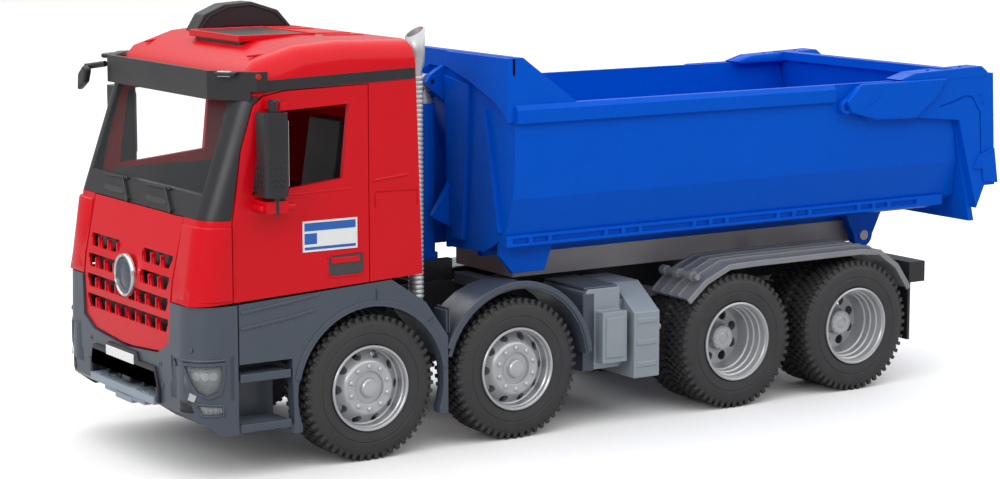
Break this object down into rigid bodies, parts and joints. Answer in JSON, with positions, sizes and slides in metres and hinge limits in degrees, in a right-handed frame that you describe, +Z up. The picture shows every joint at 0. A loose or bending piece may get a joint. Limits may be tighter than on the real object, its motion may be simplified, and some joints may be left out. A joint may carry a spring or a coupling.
{
  "type": "toy four-axle dump truck",
  "caption": "Toy heavy tipper with hinged cab doors, steered front wheels, free-rolling wheels, half-pipe tipping body on a telescopic ram and swinging tailgate.",
  "frame": {"origin": "under the middle of the whole truck, on the plane the wheels stand on", "axes": "+Y towards the tail, cab faces -Y; +X towards the left side of the truck; +Z up"},
  "size_m": [0.185, 0.525, 0.227],
  "materials": {
    "red_plastic": "gloss red moulded plastic",
    "dark_grey_plastic": "satin gloss blue-grey moulded plastic",
    "black_plastic": "satin black moulded plastic",
    "interior_plastic": "matte dark grey plastic",
    "silver_plastic": "silver pigmented plastic with a soft gloss",
    "light_grey_plastic": "light grey plastic",
    "brown_grey_plastic": "warm grey plastic",
    "clear_plastic": "clear hard plastic",
    "blue_plastic": "gloss blue moulded plastic",
    "tyre": "matte dark rubbery plastic with block tread"
  },
  "bodies": {
    "chassis": {"air_intake": "black_plastic", "battery_box": "silver_plastic", "bumper": "dark_grey_plastic", "cab_floor": "interior_plastic", "cab_shell": "red_plastic", "cab_steps": "black_plastic", "chassis_frame": "black_plastic", "dashboard": "interior_plastic", "exhaust_stack": "silver_plastic", "front_axles": "black_plastic", "front_fenders": "dark_grey_plastic", "front_panel": "red_plastic", "front_step": "light_grey_plastic", "grille_backing": "black_plastic", "headlights": "clear_plastic", "rear_axles": "black_plastic", "rear_bar": "black_plastic", "rear_mudguards": "silver_plastic", "roof_hatch": "black_plastic", "seats": "interior_plastic", "second_fenders": "dark_grey_plastic", "side_tank": "silver_plastic", "subframe": "brown_grey_plastic", "sun_visor": "black_plastic", "windscreen": "clear_plastic", "windscreen_surround": "black_plastic"},
    "knuckle_1_left": {"knuckle_1_left": "black_plastic"},
    "knuckle_1_right": {"knuckle_1_right": "black_plastic"},
    "tie_rod_1": {"tie_rod_1": "black_plastic"},
    "knuckle_2_left": {"knuckle_2_left": "black_plastic"},
    "knuckle_2_right": {"knuckle_2_right": "black_plastic"},
    "tie_rod_2": {"tie_rod_2": "black_plastic"},
    "wheel_1_left": {"tyre_1_left": "tyre", "rim_1_left": "silver_plastic"},
    "wheel_1_right": {"tyre_1_right": "tyre", "rim_1_right": "silver_plastic"},
    "wheel_2_left": {"tyre_2_left": "tyre", "rim_2_left": "silver_plastic"},
    "wheel_2_right": {"tyre_2_right": "tyre", "rim_2_right": "silver_plastic"},
    "wheel_3_left": {"tyre_3_left": "tyre", "rim_3_left": "silver_plastic"},
    "wheel_3_right": {"tyre_3_right": "tyre", "rim_3_right": "silver_plastic"},
    "wheel_4_left": {"tyre_4_left": "tyre", "rim_4_left": "silver_plastic"},
    "wheel_4_right": {"tyre_4_right": "tyre", "rim_4_right": "silver_plastic"},
    "door_left": {"door_left": "red_plastic", "mirror_left": "black_plastic"},
    "door_right": {"door_right": "red_plastic", "mirror_right": "black_plastic"},
    "bed": {"bed": "blue_plastic"},
    "tailgate": {"tailgate": "blue_plastic"},
    "ram_barrel": {"ram_barrel": "blue_plastic"},
    "ram_stage_1": {"ram_stage_1": "blue_plastic"},
    "ram_stage_2": {"ram_stage_2": "blue_plastic"},
    "ram_stage_3": {"ram_stage_3": "blue_plastic"}
  },
  "joints": [
    {"name": "steer_1_left", "type": "hinge", "parent": "chassis", "child": "knuckle_1_left", "pos_m": [0.045, -0.16, 0.0375], "axis": [0, 0, 1], "range_deg": [-12, 12]},
    {"name": "steer_1_right", "type": "hinge", "parent": "chassis", "child": "knuckle_1_right", "pos_m": [-0.045, -0.16, 0.0375], "axis": [0, 0, 1], "range_deg": [-12.5, 12.5]},
    {"name": "steer_2_left", "type": "hinge", "parent": "chassis", "child": "knuckle_2_left", "pos_m": [0.045, -0.071, 0.0375], "axis": [0, 0, 1], "range_deg": [-8.9, 8.9]},
    {"name": "steer_2_right", "type": "hinge", "parent": "chassis", "child": "knuckle_2_right", "pos_m": [-0.045, -0.071, 0.0375], "axis": [0, 0, 1], "range_deg": [-8.9, 8.9]},
    {"name": "tie_rod_1_slide", "type": "slide", "parent": "chassis", "child": "tie_rod_1", "axis": [1, 0, 0], "range_m": [-0.0031, 0.0031]},
    {"name": "tie_rod_2_slide", "type": "slide", "parent": "chassis", "child": "tie_rod_2", "axis": [1, 0, 0], "range_m": [-0.0022, 0.0022]},
    {"name": "wheel_1_left_spin", "type": "hinge", "parent": "knuckle_1_left", "child": "wheel_1_left", "pos_m": [0.06, -0.16, 0.0375], "axis": [1, 0, 0], "continuous": true},
    {"name": "wheel_1_right_spin", "type": "hinge", "parent": "knuckle_1_right", "child": "wheel_1_right", "pos_m": [-0.06, -0.16, 0.0375], "axis": [1, 0, 0], "continuous": true},
    {"name": "wheel_2_left_spin", "type": "hinge", "parent": "knuckle_2_left", "child": "wheel_2_left", "pos_m": [0.06, -0.071, 0.0375], "axis": [1, 0, 0], "continuous": true},
    {"name": "wheel_2_right_spin", "type": "hinge", "parent": "knuckle_2_right", "child": "wheel_2_right", "pos_m": [-0.06, -0.071, 0.0375], "axis": [1, 0, 0], "continuous": true},
    {"name": "wheel_3_left_spin", "type": "hinge", "parent": "chassis", "child": "wheel_3_left", "pos_m": [0.06, 0.073, 0.0375], "axis": [1, 0, 0], "continuous": true},
    {"name": "wheel_3_right_spin", "type": "hinge", "parent": "chassis", "child": "wheel_3_right", "pos_m": [-0.06, 0.073, 0.0375], "axis": [1, 0, 0], "continuous": true},
    {"name": "wheel_4_left_spin", "type": "hinge", "parent": "chassis", "child": "wheel_4_left", "pos_m": [0.06, 0.159, 0.0375], "axis": [1, 0, 0], "continuous": true},
    {"name": "wheel_4_right_spin", "type": "hinge", "parent": "chassis", "child": "wheel_4_right", "pos_m": [-0.06, 0.159, 0.0375], "axis": [1, 0, 0], "continuous": true},
    {"name": "door_left_hinge", "type": "hinge", "parent": "chassis", "child": "door_left", "pos_m": [0.0782, -0.2372, 0.14], "axis": [0, 0, -1], "range_deg": [0, 65]},
    {"name": "door_right_hinge", "type": "hinge", "parent": "chassis", "child": "door_right", "pos_m": [-0.0782, -0.2372, 0.14], "axis": [0, 0, 1], "range_deg": [0, 65]},
    {"name": "bed_tilt", "type": "hinge", "parent": "chassis", "child": "bed", "pos_m": [0, 0.1975, 0.082], "axis": [-1, 0, 0], "range_deg": [0, 45]},
    {"name": "tailgate_swing", "type": "hinge", "parent": "bed", "child": "tailgate", "pos_m": [0, 0.165, 0.167], "axis": [1, 0, 0], "range_deg": [0, 80]},
    {"name": "ram_lean", "type": "hinge", "parent": "chassis", "child": "ram_barrel", "pos_m": [0, -0.0815, 0.082], "axis": [-1, 0, 0], "range_deg": [0, 30.23]},
    {"name": "ram_slide_1", "type": "slide", "parent": "ram_barrel", "child": "ram_stage_1", "axis": [0, 0, 1], "range_m": [0, 0.06991]},
    {"name": "ram_slide_2", "type": "slide", "parent": "ram_stage_1", "child": "ram_stage_2", "axis": [0, 0, 1], "range_m": [0, 0.06991]},
    {"name": "ram_slide_3", "type": "slide", "parent": "ram_stage_2", "child": "ram_stage_3", "axis": [0, 0, 1], "range_m": [0, 0.06991]}
  ],
  "couplings": [
    {"joint": "steer_1_right", "follows": "steer_1_left", "ratio": 1},
    {"joint": "steer_2_left", "follows": "steer_1_left", "ratio": 0.7},
    {"joint": "steer_2_right", "follows": "steer_1_left", "ratio": 0.7},
    {"joint": "tie_rod_1_slide", "follows": "steer_1_left", "m_per_rad": -0.014},
    {"joint": "tie_rod_2_slide", "follows": "steer_1_left", "m_per_rad": -0.0098},
    {"joint": "ram_slide_1", "follows": "bed_tilt", "m_per_rad": 0.088379},
    {"joint": "ram_slide_2", "follows": "bed_tilt", "m_per_rad": 0.088379},
    {"joint": "ram_slide_3", "follows": "bed_tilt", "m_per_rad": 0.088379},
    {"joint": "ram_lean", "follows": "bed_tilt", "ratio": 0.66062}
  ]
}
